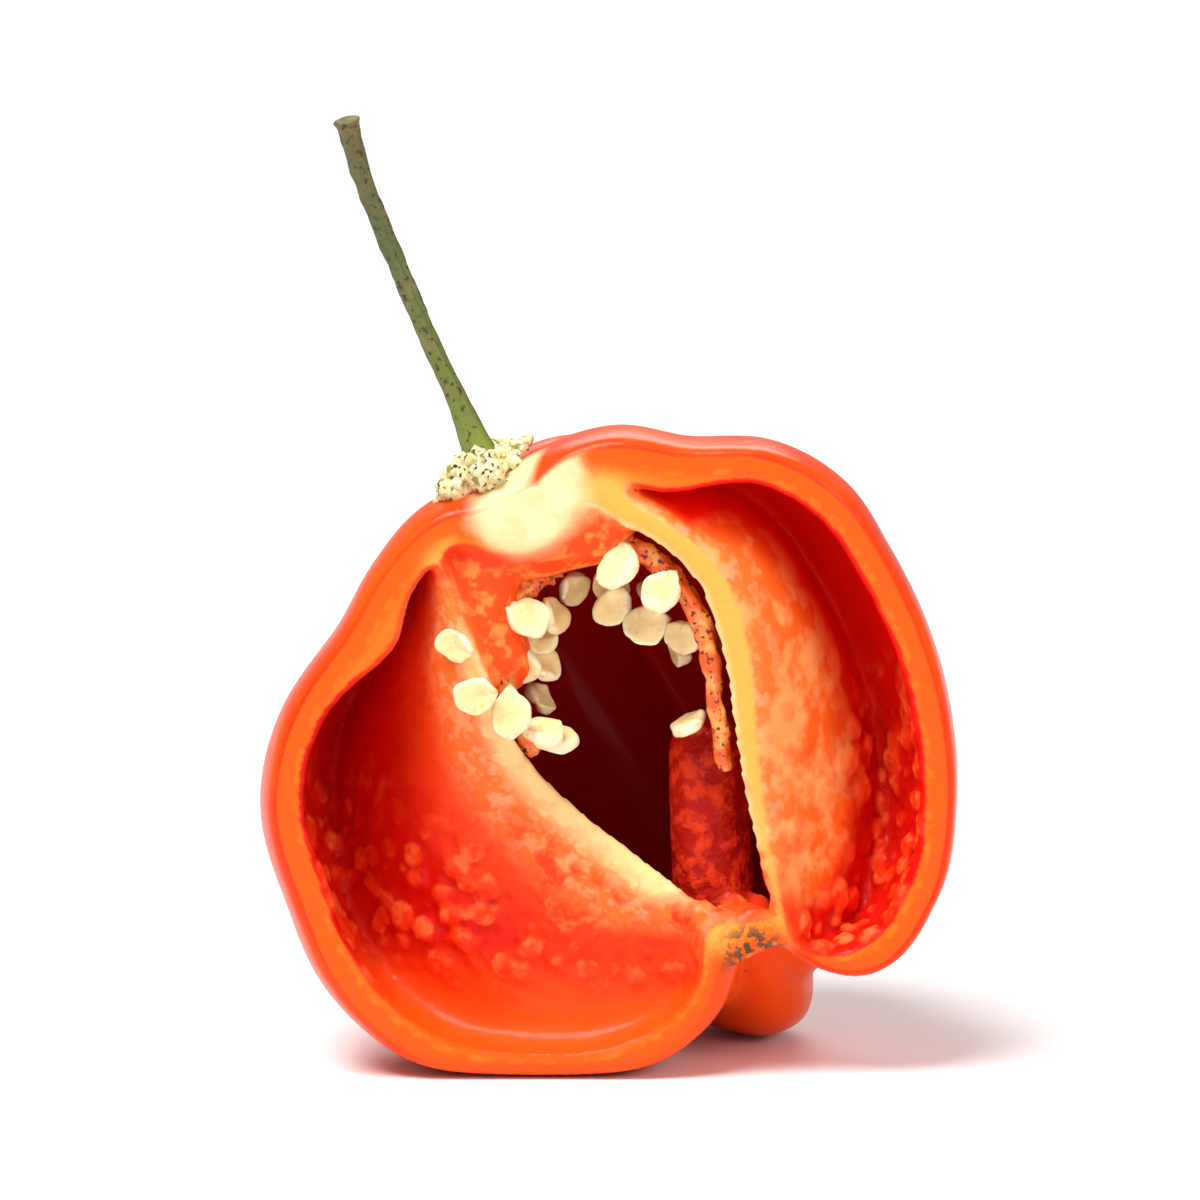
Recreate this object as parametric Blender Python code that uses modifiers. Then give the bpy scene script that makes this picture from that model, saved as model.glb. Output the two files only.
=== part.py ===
"""A bonnet-shaped chilli pepper, cut open lengthwise with a knife, standing on its lobes.

The fruit is shaped in its own frame, where +Z points up its axis to the stalk, +Y points away from the
cut and +X lies in the cut. An empty then leans that frame into the pose in which the half stands.
"""

import math
import random

import bmesh
import bpy
import numpy as np
from mathutils import Matrix, Vector

MM = 0.001

# Driving sizes of the fruit
AXIS_BEHIND_CUT = 4.0 * MM
WALL = 2.3 * MM
LEFT_SEPTUM = 1.1 * MM
RIGHT_SEPTUM = 1.9 * MM
GROOVE_DEPTH = 3.7 * MM
CLEARANCE = 0.3 * MM

# How the half stands
LEAN_LEFT = math.radians(30.4)
MIDDLE = Vector((0.77 * MM, -9.08 * MM, 23.8 * MM))

# The skin's distance from the fruit's middle, in mm, from the stalk end to the blossom end in even steps
# of the polar angle. Each lobe has its own, and all meet at the two ends.
LEFT_LOBE = (17.2, 18.0, 17.6, 18.4, 21.9, 24.3, 25.5, 26.9, 27.0, 25.5, 24.0, 21.4, 17.2)
BACK_LEFT_LOBE = (17.2, 18.2, 19.2, 20.4, 21.6, 22.4, 23.0, 23.8, 25.2, 27.4, 28.9, 25.6, 17.2)
BACK_RIGHT_LOBE = (17.2, 18.0, 18.6, 19.4, 20.4, 21.2, 21.8, 22.4, 23.2, 24.2, 24.8, 23.0, 17.2)
RIGHT_LOBE = (17.2, 17.8, 18.4, 18.2, 19.9, 20.6, 20.3, 20.6, 21.3, 22.5, 23.9, 23.6, 17.2)
FRONT_LOBE = (17.2, 16.8, 17.8, 20.0, 21.5, 22.4, 22.6, 23.0, 23.4, 23.0, 22.0, 18.8, 17.2)

# Grooves between the lobes: azimuth in degrees at the stalk end, halfway and at the blossom end, and the
# share of the full depth. The lobe in each row lies between its groove and the next.
GROOVES = (
    ((36.0, 38.0, 34.0), 1.0, BACK_RIGHT_LOBE),
    ((82.0, 84.0, 82.0), 0.7, BACK_LEFT_LOBE),
    ((128.0, 124.0, 128.0), 1.0, LEFT_LOBE),
    ((215.0, 210.0, 236.0), 1.2, FRONT_LOBE),
    ((346.0, 311.0, 290.0), 1.2, RIGHT_LOBE),
)
LOBE_FLATNESS = 2.8

# The solid core under the stalk, where the flesh is pale
CORE_TOP = 15.5 * MM
CORE_BOTTOM = 10.4 * MM
CORE_RADIUS = (5.6 * MM, 6.2 * MM)
BLOSSOM_CORE = (Vector((0.7 * MM, -2.0 * MM, -15.9 * MM)), 2.4 * MM)

# The free edges of the two septa, as (across, behind the cut, up) in the fruit's frame, from the core to the
# blossom end. One that starts before the cut is cut through by the knife.
LEFT_SEPTUM_EDGE = (
    (-4.6, -1.0, 15.0),
    (-5.4, -1.0, 10.0),
    (-6.7, 0.2, 4.5),
    (-7.1, 2.2, 0.2),
    (-5.9, 3.6, -5.0),
    (-3.7, 3.4, -10.5),
    (-0.4, -1.0, -17.0),
)
RIGHT_SEPTUM_EDGE = (
    (4.6, -1.0, 15.0),
    (7.4, -1.0, 9.5),
    (8.5, -1.0, 5.0),
    (7.4, -1.0, 0.2),
    (5.2, -1.0, -4.6),
    (3.2, -1.0, -9.6),
    (1.4, -1.0, -17.0),
)
# Where the septa root on the wall, as azimuths in degrees down the same way
LEFT_SEPTUM_ROOTS = (128.0, 134.0, 144.0, 156.0, 168.0, 176.0, 160.0)
RIGHT_SEPTUM_ROOTS = (36.0, 37.0, 38.0, 38.0, 38.0, 36.0, 34.0)
SEPTUM_FROM = math.radians(24)
SEPTUM_TO = math.radians(172)
SEPTUM_BULGE = 2.2 * MM

# The placenta's two arms, as (across, behind the axis, up) in the fruit's frame, in mm
LEFT_ARM = ((1.2, 0.9, 9.9), (0.0, 0.6, 9.8), (-2.8, -0.6, 9.4), (-5.2, -1.8, 7.2), (-6.1, -2.0, 3.6), (-6.2, -2.0, 0.4))
RIGHT_ARM = ((-0.9, 0.2, 9.6), (3.4, -0.4, 9.6), (6.4, -1.6, 8.0), (7.7, -2.0, 4.6), (7.1, -2.0, 0.6), (5.5, -2.0, -3.0))
ARM_RADIUS = 0.75 * MM

SEED_RADIUS = 1.5 * MM
SEED_THICKNESS = 0.8 * MM
SEED_SPACING = 1.15 * MM
LEFT_FAN = (-38.0, 8.0, 42.0, -10.0, 128.0)
RIGHT_FAN = (-38.0, 8.0, 42.0, -14.0)
SEED_DRAW = 11

# The stalk's line, as (across, behind the axis, up) in the standing frame, in mm from the fruit's middle
STALK_LINE = (
    (-8.2, 0.0, 14.4),
    (-10.2, 0.5, 19.2),
    (-12.3, 1.0, 23.6),
    (-13.9, 1.4, 27.4),
    (-15.4, 1.6, 31.1),
    (-16.7, 1.4, 34.6),
    (-17.6, 0.8, 38.0),
)
STALK_RADIUS = 0.62 * MM
STALK_FLARE = 1.5 * MM
CALYX_RADIUS = 3.1 * MM
CALYX_THICKNESS = 1.7 * MM

# Colours, roughness
SKIN = ((0.86, 0.09, 0.008, 1.0), 0.28)
PITH = ((0.90, 0.72, 0.42, 1.0), 0.55)
STALK_GREEN = ((0.10, 0.14, 0.03, 1.0), 0.6)


def along(values, share):
    """A smooth curve through evenly spaced values, level at both ends, at shares from 0 to 1."""
    values = np.asarray(values, float)
    padded = np.concatenate([values[1:2], values, values[-2:-1]])
    place = np.clip(share, 0.0, 1.0) * (len(values) - 1)
    first = np.minimum(place.astype(int), len(values) - 2)
    f = place - first
    a, b, c, d = (padded[first + step] for step in range(4))
    return 0.5 * (2 * b + (c - a) * f + (2 * a - 5 * b + 4 * c - d) * f**2 + (3 * b - a - 3 * c + d) * f**3)


def groove_azimuth(groove, polar):
    """Where a groove runs at a polar angle, in radians."""
    return np.radians(along(groove[0], polar / math.pi))


def skin_distance(polar, azimuth):
    """The skin's distance from the fruit's middle, in metres, for arrays of directions."""
    share = polar / math.pi
    full_depth = GROOVE_DEPTH * np.sin(polar) ** 0.6
    lobes = [along(groove[2], share) * MM for groove in GROOVES]
    floors = [
        (lobes[i - 1] + lobes[i]) / 2 - GROOVES[i][1] * full_depth
        for i in range(len(GROOVES))
    ]
    distance = np.zeros_like(share)
    for i, groove in enumerate(GROOVES):
        after = (i + 1) % len(GROOVES)
        start = groove_azimuth(groove, polar)
        width = (groove_azimuth(GROOVES[after], polar) - start) % (2 * math.pi)
        turn = (azimuth - start) % (2 * math.pi)
        side = 2 * turn / width - 1
        swell = 1 - np.abs(side) ** LOBE_FLATNESS
        floor = np.where(side < 0, floors[i], floors[after])
        distance = np.where(turn < width, floor + (lobes[i] - floor) * swell, distance)
    return distance


def point_at(polar, azimuth, distance):
    """The point that far from the fruit's middle in that direction."""
    flat = math.sin(polar) * distance
    return Vector((flat * math.cos(azimuth), flat * math.sin(azimuth), math.cos(polar) * distance))


def skin_point(polar, azimuth, inset):
    """A point under the skin."""
    distance = float(skin_distance(np.array([polar]), np.array([azimuth]))[0])
    return point_at(polar, azimuth, distance - inset)


def finish(name, colour):
    """A Principled material."""
    base, roughness = colour
    material = bpy.data.materials.new(name)
    material.use_nodes = True
    shader = material.node_tree.nodes["Principled BSDF"]
    shader.inputs["Base Color"].default_value = base
    shader.inputs["Roughness"].default_value = roughness
    shader.inputs["Metallic"].default_value = 0.0
    return material


def new_object(name, bm, collection, parent=None):
    """An object from a bmesh, in a collection and on a parent."""
    mesh = bpy.data.meshes.new(name)
    bm.to_mesh(mesh)
    bm.free()
    obj = bpy.data.objects.new(name, mesh)
    collection.objects.link(obj)
    obj.parent = parent
    return obj


def as_helper(obj):
    """Marks a cutter or a shape that is joined into another."""
    obj.hide_render = True
    obj.display_type = "WIRE"
    return obj


def cut(obj, cutter, solver="EXACT"):
    """Cuts an object with another."""
    modifier = obj.modifiers.new(cutter.name, "BOOLEAN")
    modifier.operation = "DIFFERENCE"
    modifier.object = cutter
    modifier.solver = solver


def join_in(obj, helpers, collection):
    """Applies one union with a collection of helpers, which are then removed."""
    for helper in helpers:
        collection.objects.link(helper)
    modifier = obj.modifiers.new("join", "BOOLEAN")
    modifier.operation = "UNION"
    modifier.operand_type = "COLLECTION"
    modifier.collection = collection
    modifier.solver = "EXACT"
    bpy.context.view_layer.update()
    graph = bpy.context.evaluated_depsgraph_get()
    joined = bpy.data.meshes.new_from_object(obj.evaluated_get(graph))
    obj.modifiers.clear()
    obj.data = joined
    for helper in helpers:
        bpy.data.objects.remove(helper)
    return obj


def fruit_body(name, segments, rings, inset, collection, parent):
    """The closed surface at an inset under the skin, from a sphere whose points move in or out."""
    bm = bmesh.new()
    bmesh.ops.create_uvsphere(bm, u_segments=segments, v_segments=rings, radius=1.0)
    directions = np.array([vertex.co for vertex in bm.verts])
    polar = np.arccos(np.clip(directions[:, 2], -1.0, 1.0))
    azimuth = np.arctan2(directions[:, 1], directions[:, 0])
    distance = skin_distance(polar, azimuth) - inset
    for vertex, direction, length in zip(bm.verts, directions, distance):
        vertex.co = Vector(direction * length)
    return new_object(name, bm, collection, parent)


def septum_sheet(name, edge, roots, thickness, lean, collection, parent):
    """A curved wall from its free edge to the line where it grows into the flesh."""
    rows, columns = 26, 9
    across, behind, up = ([point[k] for point in edge] for k in range(3))
    bm = bmesh.new()
    bmesh.ops.create_grid(bm, x_segments=rows, y_segments=columns, size=0.5)
    for vertex in bm.verts:
        share_down, share_back = vertex.co.x + 0.5, vertex.co.y + 0.5
        place = np.array([share_down])
        polar = SEPTUM_FROM + (SEPTUM_TO - SEPTUM_FROM) * share_down
        azimuth = math.radians(float(along(roots, place)[0]))
        root = skin_point(polar, azimuth, 0.2 * WALL)
        front = Vector([float(along(values, place)[0]) * MM for values in (across, behind, up)])
        front.y -= AXIS_BEHIND_CUT
        arch = math.sin(math.pi * share_back) * math.sin(math.pi * share_down)
        vertex.co = front.lerp(root, share_back) + Vector((lean, -0.5, 0.0)) * SEPTUM_BULGE * arch
    sheet = new_object(name, bm, collection, parent)
    thick = sheet.modifiers.new("thickness", "SOLIDIFY")
    thick.thickness = thickness
    thick.offset = 0.0
    return sheet


def core_body(name, collection, parent):
    """The solid core that hangs from the stalk end."""
    bm = bmesh.new()
    bmesh.ops.create_cone(
        bm,
        cap_ends=True,
        segments=20,
        radius1=CORE_RADIUS[0],
        radius2=CORE_RADIUS[1],
        depth=CORE_TOP - CORE_BOTTOM,
        matrix=Matrix.Translation((0, 0, (CORE_TOP + CORE_BOTTOM) / 2)),
    )
    return new_object(name, bm, collection, parent)


def blossom_core(name, collection, parent):
    """The knot of flesh where the septa meet at the blossom end."""
    centre, radius = BLOSSOM_CORE
    bm = bmesh.new()
    bmesh.ops.create_uvsphere(bm, u_segments=16, v_segments=10, radius=radius, matrix=Matrix.Translation(centre))
    return new_object(name, bm, collection, parent)


def box(name, size, centre, collection, parent=None):
    """A box-shaped cutter."""
    bm = bmesh.new()
    bmesh.ops.create_cube(bm, size=1.0, matrix=Matrix.Translation(centre) @ Matrix.Diagonal((*size, 1.0)))
    return as_helper(new_object(name, bm, collection, parent))


def solid_curve(name, points, radius, widths, collection, parent, resolution=2):
    """A closed tube along a smooth line, made a mesh so that it can be joined and cut."""
    curve = bpy.data.curves.new(name, "CURVE")
    curve.dimensions = "3D"
    curve.bevel_depth = radius
    curve.bevel_resolution = resolution
    curve.use_fill_caps = True
    steps = 4 * (len(points) - 1)
    shares = np.linspace(0, 1, steps + 1)
    line = np.stack([along([p[k] for p in points], shares) for k in range(3)], axis=1)
    spline = curve.splines.new("POLY")
    spline.points.add(steps)
    for point, place, share in zip(spline.points, line, shares):
        point.co = (*place, 1.0)
        point.radius = widths(share)
    tube = bpy.data.objects.new(name, curve)
    collection.objects.link(tube)
    tube.parent = parent
    bpy.context.view_layer.update()
    graph = bpy.context.evaluated_depsgraph_get()
    mesh = bpy.data.meshes.new_from_object(tube.evaluated_get(graph))
    bm = bmesh.new()
    bm.from_mesh(mesh)
    bmesh.ops.remove_doubles(bm, verts=bm.verts, dist=0.01 * MM)
    bpy.data.objects.remove(tube)
    return new_object(name, bm, collection, parent)


def seed_body(name, placing, extra, collection, parent):
    """A flat round seed with rounded rims."""
    radius, thickness = SEED_RADIUS + extra, SEED_THICKNESS + 2 * extra
    bm = bmesh.new()
    bmesh.ops.create_cone(bm, cap_ends=True, segments=10, radius1=radius, radius2=radius, depth=thickness)
    bmesh.ops.bevel(
        bm,
        geom=[edge for edge in bm.edges if abs(edge.verts[0].co.z - edge.verts[1].co.z) < 0.01 * MM],
        offset=0.25 * MM,
        segments=1,
        affect="EDGES",
    )
    bmesh.ops.transform(bm, matrix=placing, verts=bm.verts)
    return new_object(name, bm, collection, parent)


def seed_placings(arm, side, fan, draw):
    """Seeds down an arm, each fixed by its rim and fanned round it from the hollow to the cut."""
    shares = np.linspace(0, 1, 60)
    line = np.stack([along([p[k] for p in arm], shares) * MM for k in range(3)], axis=1)
    walked = np.concatenate([[0.0], np.cumsum(np.linalg.norm(np.diff(line, axis=0), axis=1))])
    placings = []
    for count, distance in enumerate(np.arange(2.0 * MM, walked[-1], SEED_SPACING)):
        middle = Vector([float(np.interp(distance, walked, line[:, k])) for k in range(3)])
        turn = math.radians(fan[count % len(fan)] + draw.uniform(-9, 9))
        outward = Vector((side * math.cos(turn), -math.sin(turn), draw.uniform(-0.45, 0.05))).normalized()
        flat = outward.cross(Vector((0, draw.uniform(-0.6, 0.6), 1.0))).normalized()
        facing = Matrix((outward, flat.cross(outward), flat)).transposed().to_4x4()
        placings.append(Matrix.Translation(middle + outward * (SEED_RADIUS + 0.3 * MM)) @ facing)
    return placings


def placenta(name, extra, collection, joining, parent):
    """The pale placenta, whose two arms run down the septa, with the seeds that grow on it."""
    def width(share):
        return 1.35 - 0.6 * share

    left, right = (
        solid_curve(f"{name}_{side}", [[value * MM for value in p] for p in arm], ARM_RADIUS + extra, width, collection, parent)
        for side, arm in (("left", LEFT_ARM), ("right", RIGHT_ARM))
    )
    helpers = [right]
    draw = random.Random(SEED_DRAW)
    for arm, side, fan in ((LEFT_ARM, 1, LEFT_FAN), (RIGHT_ARM, -1, RIGHT_FAN)):
        for placing in seed_placings(arm, side, fan, draw):
            helpers.append(seed_body("seed", placing, extra, collection, parent))
    body = join_in(left, helpers, joining)
    body.name = name
    return body


def stalk(name, extra, collection, joining, parent):
    """The stalk with the torn cup that it grows from."""
    to_fruit = Matrix.Rotation(LEAN_LEFT, 3, "Y")
    line = [to_fruit @ (Vector(p) * MM) for p in STALK_LINE]

    def width(share):
        return 1.0 + (STALK_FLARE / STALK_RADIUS - 1) * math.exp(-((share / 0.13) ** 2)) + 0.35 * share**8

    tube = solid_curve(name, line, STALK_RADIUS + extra, width, collection, parent)
    bm = bmesh.new()
    bmesh.ops.create_uvsphere(bm, u_segments=30, v_segments=10, radius=1.0)
    foot = point_at(0.0, 0.0, 17.6 * MM)
    for vertex in bm.verts:
        azimuth = math.atan2(vertex.co.y, vertex.co.x)
        ragged = 1 + 0.16 * math.cos(5 * azimuth + 0.6) + 0.08 * math.cos(11 * azimuth)
        reach = CALYX_RADIUS * ragged + extra
        vertex.co = foot + Vector(
            (
                vertex.co.x * reach,
                vertex.co.y * reach,
                vertex.co.z * (CALYX_THICKNESS / 2 + extra) + 0.9 * MM * (vertex.co.x**2 + vertex.co.y**2) * 0.5,
            )
        )
    cup = new_object(f"{name}_cup", bm, collection, parent)
    return join_in(tube, [cup], joining)


def main():
    for old in list(bpy.data.objects):
        bpy.data.objects.remove(old)
    scene = bpy.context.scene
    parts = bpy.data.collections.new("cut_chilli_pepper")
    cutters = bpy.data.collections.new("cutters")
    joining = bpy.data.collections.new("joining")
    for collection in (parts, cutters, joining):
        scene.collection.children.link(collection)

    fruit = bpy.data.objects.new("fruit_frame", None)
    parts.objects.link(fruit)
    fruit.matrix_world = Matrix.Translation(MIDDLE) @ Matrix.Rotation(-LEAN_LEFT, 4, "Y")

    knife = box("knife", (0.12, 0.06, 0.12), (0, -AXIS_BEHIND_CUT - 0.03, 0), cutters, fruit)
    ground = box("ground", (0.12, 0.12, 0.02), (0, 0, -0.01), cutters)

    locules = as_helper(fruit_body("locules", 54, 34, WALL, cutters, fruit))
    for sheet in (
        septum_sheet("left_septum", LEFT_SEPTUM_EDGE, LEFT_SEPTUM_ROOTS, LEFT_SEPTUM, -1.0, cutters, fruit),
        septum_sheet("right_septum", RIGHT_SEPTUM_EDGE, RIGHT_SEPTUM_ROOTS, RIGHT_SEPTUM, 1.0, cutters, fruit),
        core_body("core", cutters, fruit),
        blossom_core("blossom_core", cutters, fruit),
    ):
        cut(locules, as_helper(sheet))
    bed = as_helper(placenta("bed", CLEARANCE, cutters, joining, fruit))
    cup_bed = as_helper(stalk("cup_bed", CLEARANCE, cutters, joining, fruit))
    flesh = fruit_body("flesh", 60, 40, 0.0, parts, fruit)
    for cutter in (knife, ground, locules, bed, cup_bed):
        cut(flesh, cutter, "MANIFOLD")

    placenta_and_seeds = placenta("placenta_and_seeds", 0.0, parts, joining, fruit)
    stalk_and_calyx = stalk("stalk_and_calyx", 0.0, parts, joining, fruit)
    for piece, colour in ((flesh, SKIN), (placenta_and_seeds, PITH), (stalk_and_calyx, STALK_GREEN)):
        piece.data.materials.clear()
        piece.data.materials.append(finish(piece.name, colour))
        piece.data.shade_smooth()


main()
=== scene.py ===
"""The looks of half a bonnet-type chilli pepper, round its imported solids.

Lengths are in millimetres until a mesh is made. The fruit is shaped in its own frame, where +Z points up
its axis to the stalk, +Y points away from the knife's cut and +X lies in the cut. It is then leaned into
the pose in which the half stands.
"""

import itertools
import math

import bmesh
import bpy
import numpy as np
from mathutils import Matrix, Vector
from mathutils.bvhtree import BVHTree


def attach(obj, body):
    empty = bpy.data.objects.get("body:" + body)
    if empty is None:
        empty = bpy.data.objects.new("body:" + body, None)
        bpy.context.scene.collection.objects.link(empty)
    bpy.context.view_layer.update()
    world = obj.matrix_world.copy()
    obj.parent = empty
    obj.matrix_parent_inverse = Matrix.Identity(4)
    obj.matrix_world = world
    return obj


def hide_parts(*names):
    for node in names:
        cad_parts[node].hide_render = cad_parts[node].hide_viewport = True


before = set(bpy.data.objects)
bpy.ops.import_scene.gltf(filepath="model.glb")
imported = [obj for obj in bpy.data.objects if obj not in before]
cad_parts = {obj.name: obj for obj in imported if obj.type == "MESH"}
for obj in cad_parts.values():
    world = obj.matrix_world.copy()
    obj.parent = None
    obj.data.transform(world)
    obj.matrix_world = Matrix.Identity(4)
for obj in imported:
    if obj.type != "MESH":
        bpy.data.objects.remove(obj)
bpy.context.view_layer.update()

MM = 0.001

# Driving sizes of the fruit, as in its solids
AXIS_BEHIND_CUT = 4.0
WALL = 2.3
GROOVE_DEPTH = 3.7
LEAN_LEFT = math.radians(30.4)
MIDDLE = np.array((0.77, -9.08, 23.8))

# The skin's distance from the fruit's middle, from the stalk end to the blossom end in even steps of the
# polar angle, for each lobe
LEFT_LOBE = (17.2, 18.3, 18.6, 19.2, 21.9, 24.3, 25.5, 26.9, 27.0, 25.5, 24.0, 21.4, 17.2)
BACK_LEFT_LOBE = (17.2, 18.2, 19.2, 20.4, 21.6, 22.4, 23.0, 23.8, 25.2, 27.4, 28.9, 25.6, 17.2)
BACK_RIGHT_LOBE = (17.2, 18.0, 18.6, 19.4, 20.4, 21.2, 21.8, 22.4, 23.2, 24.2, 24.8, 23.0, 17.2)
RIGHT_LOBE = (17.2, 17.8, 18.4, 18.2, 19.9, 20.6, 20.3, 20.6, 21.3, 22.5, 23.9, 23.6, 17.2)
FRONT_LOBE = (17.2, 16.8, 17.8, 20.0, 21.5, 22.4, 22.6, 23.0, 23.4, 23.0, 22.0, 18.8, 17.2)

# Grooves between the lobes: azimuth at the stalk end, halfway and at the blossom end, share of the full
# depth, and the lobe that follows
GROOVES = (
    ((36.0, 38.0, 34.0), 1.0, BACK_RIGHT_LOBE),
    ((82.0, 84.0, 82.0), 0.7, BACK_LEFT_LOBE),
    ((128.0, 124.0, 128.0), 1.0, LEFT_LOBE),
    ((250.0, 210.0, 236.0), 1.2, FRONT_LOBE),
    ((308.0, 306.0, 290.0), 1.2, RIGHT_LOBE),
)
LOBE_FLATNESS = 2.8

# The core under the stalk, the webs of tissue that hang from its left side and under it, as their two ends
# and radius, the knot at the blossom end, and the fold of the right septum's back that stands by it
CORE = ((1.2, 0.0, 16.2), (5.6, 5.8, 5.6))
WEBS = (((-3.3, -1.1, 12.0), (-5.1, -0.9, 6.6), 2.1), ((0.4, -1.0, 12.2), (4.8, -1.3, 10.6), 2.0))
BLOSSOM_CORE = ((0.6, -2.6, -17.2), 1.7)
FOLD = ((3.3, 3.0, -5.8), (-1.2, 2.4, -13.8), 2.7)

# The septa's free edges as (across, behind the cut, up), from the core to the blossom end, the azimuth of
# their roots on the wall down the same way, and their thickness
LEFT_SEPTUM = (
    ((-4.6, -1.0, 15.0), (-5.4, -1.0, 10.0), (-6.7, 0.2, 4.5), (-7.1, 2.2, 0.2), (-5.9, 3.6, -5.0), (-3.7, 3.4, -10.5), (-0.4, -1.0, -17.0)),
    (128.0, 134.0, 144.0, 156.0, 168.0, 176.0, 160.0),
    0.9,
)
RIGHT_SEPTUM = (
    ((4.6, -1.0, 15.0), (7.4, -1.0, 9.5), (8.5, -1.0, 5.0), (7.4, -1.0, 0.2), (5.2, -1.0, -4.6), (3.2, -1.0, -9.6), (1.4, -1.0, -17.0)),
    (36.0, 37.0, 38.0, 39.0, 41.0, 44.0, 46.0),
    1.7,
)
SEPTUM_POLAR = (math.radians(24), math.radians(172))
SEPTUM_BULGE = 2.2

# The placenta's arms, as (across, behind the axis, up)
LEFT_ARM = ((1.2, -0.4, 10.4), (-0.6, -0.6, 10.2), (-2.8, -1.4, 9.2), (-4.8, -2.2, 7.2), (-5.9, -2.2, 3.6), (-6.2, -1.6, 0.4))
RIGHT_ARM = ((0.4, -0.6, 10.8), (3.4, -1.2, 10.6), (6.0, -2.0, 9.0), (7.5, -2.4, 5.2), (7.0, -2.7, 1.0), (5.5, -2.7, -2.8), (3.9, -2.6, -6.6))

# Seeds: (across, behind the axis, up) of the middle, which way the face looks, and size over the usual
SEED_RADIUS = 1.42
SEEDS = (
    ((-1.9, -2.4, 8.4), (0.25, -0.9, 0.35), 1.0),
    ((-0.7, -0.2, 7.4), (0.8, -0.5, -0.2), 0.9),
    ((-4.0, -1.4, 5.8), (-0.2, -0.9, 0.2), 0.92),
    ((-3.0, -0.4, 5.0), (0.8, -0.5, 0.3), 0.9),
    ((-7.4, -4.3, 6.0), (-0.2, -0.95, 0.1), 0.98),
    ((-6.9, -3.5, 9.4), (-0.4, -0.85, 0.25), 0.85),
    ((-6.0, -3.9, 3.6), (0.1, -0.95, 0.3), 1.06),
    ((-4.9, -2.4, 1.5), (0.55, -0.35, 0.75), 0.98),
    ((-4.5, -1.4, 0.5), (0.45, -0.45, 0.8), 0.98),
    ((-2.4, 0.2, 6.6), (0.5, -0.8, 0.3), 0.9),
    ((4.7, -3.2, 8.3), (-0.1, -0.8, 0.65), 1.02),
    ((6.2, -3.6, 5.6), (0.1, -0.9, 0.35), 0.95),
    ((2.8, -0.4, 5.9), (-0.35, -0.9, 0.1), 0.9),
    ((4.0, -0.9, 3.9), (0.15, -0.95, 0.2), 1.0),
    ((5.9, -1.6, 2.2), (-0.5, -0.8, 0.1), 0.88),
    ((3.4, 0.9, 7.0), (-0.4, -0.7, -0.4), 0.9),
    ((3.2, -1.0, -3.0), (0.05, -0.14, 1.0), 0.92),
    ((1.2, 1.6, 8.0), (0.3, -0.6, -0.6), 0.9),
    ((-4.4, 1.0, 3.0), (0.9, -0.2, 0.2), 0.95),
    ((-4.9, 1.4, 6.0), (0.8, 0.3, 0.2), 0.95),
    ((5.2, 1.2, 5.0), (-0.9, 0.1, 0.1), 0.95),
    ((5.0, 1.3, 1.2), (-0.9, -0.2, 0.2), 0.92),
)

# The stalk's line in the standing frame, from the fruit's middle
STALK_LINE = (
    (-8.2, 0.0, 14.4),
    (-10.2, 0.5, 19.2),
    (-12.3, 1.0, 23.6),
    (-13.9, 1.4, 27.4),
    (-15.4, 1.6, 31.1),
    (-16.7, 1.4, 34.6),
    (-17.6, 0.8, 38.0),
)
STALK_RADIUS = 0.62
STALK_FLARE = 1.5
CALYX_RADIUS = 3.1

# The blossom scar, and the cream part of the core: its middle and its reach from there
BLOSSOM_SCAR = (-0.5, -4.0, -17.6)
CREAM = ((2.2, -3.6, 15.4), (3.6, 2.8, 3.5))

# The camera's place, from the middle of the half
VIEW_ELEVATION = math.radians(9.0)
VIEW_DISTANCE = 560.0
VIEW_HEIGHT = 78.0
VIEW_AIM = (-0.6, -4.0, 30.0)

CELL = 0.38


def along(values, share):
    """A smooth curve through evenly spaced values, level at both ends, at shares from 0 to 1."""
    values = np.asarray(values, float)
    padded = np.concatenate([values[1:2], values, values[-2:-1]])
    place = np.clip(share, 0.0, 1.0) * (len(values) - 1)
    first = np.minimum(place.astype(int), len(values) - 2)
    f = place - first
    a, b, c, d = (padded[first + step] for step in range(4))
    return 0.5 * (2 * b + (c - a) * f + (2 * a - 5 * b + 4 * c - d) * f**2 + (3 * b - a - 3 * c + d) * f**3)


def skin_distance(polar, azimuth):
    """The skin's distance from the fruit's middle for arrays of directions."""
    share = polar / math.pi
    full_depth = GROOVE_DEPTH * np.sin(polar) ** np.where(share < 0.5, 1.6, 0.6)
    lobes = [along(groove[2], share) for groove in GROOVES]
    starts = [np.radians(along(groove[0], share)) for groove in GROOVES]
    floors = [(lobes[i - 1] + lobes[i]) / 2 - GROOVES[i][1] * full_depth for i in range(len(GROOVES))]
    distance = np.zeros_like(share)
    for i in range(len(GROOVES)):
        after = (i + 1) % len(GROOVES)
        width = (starts[after] - starts[i]) % (2 * math.pi)
        turn = (azimuth - starts[i]) % (2 * math.pi)
        side = 2 * turn / width - 1
        floor = np.where(side < 0, floors[i], floors[after])
        swell = floor + (lobes[i] - floor) * (1 - np.abs(side) ** LOBE_FLATNESS)
        distance = np.where(turn < width, swell, distance)
    return distance


def standing(points):
    """Points from the fruit's frame to the frame it stands in."""
    across, behind, up = np.asarray(points, float).T
    c, s = math.cos(LEAN_LEFT), math.sin(LEAN_LEFT)
    return np.stack([across * c - up * s, behind, across * s + up * c], axis=1) + MIDDLE


def smooth_min(a, b, reach):
    """The lower of two fields, with a fillet where they meet."""
    share = np.clip(0.5 + 0.5 * (b - a) / reach, 0, 1)
    return b + (a - b) * share - reach * share * (1 - share)


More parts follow.
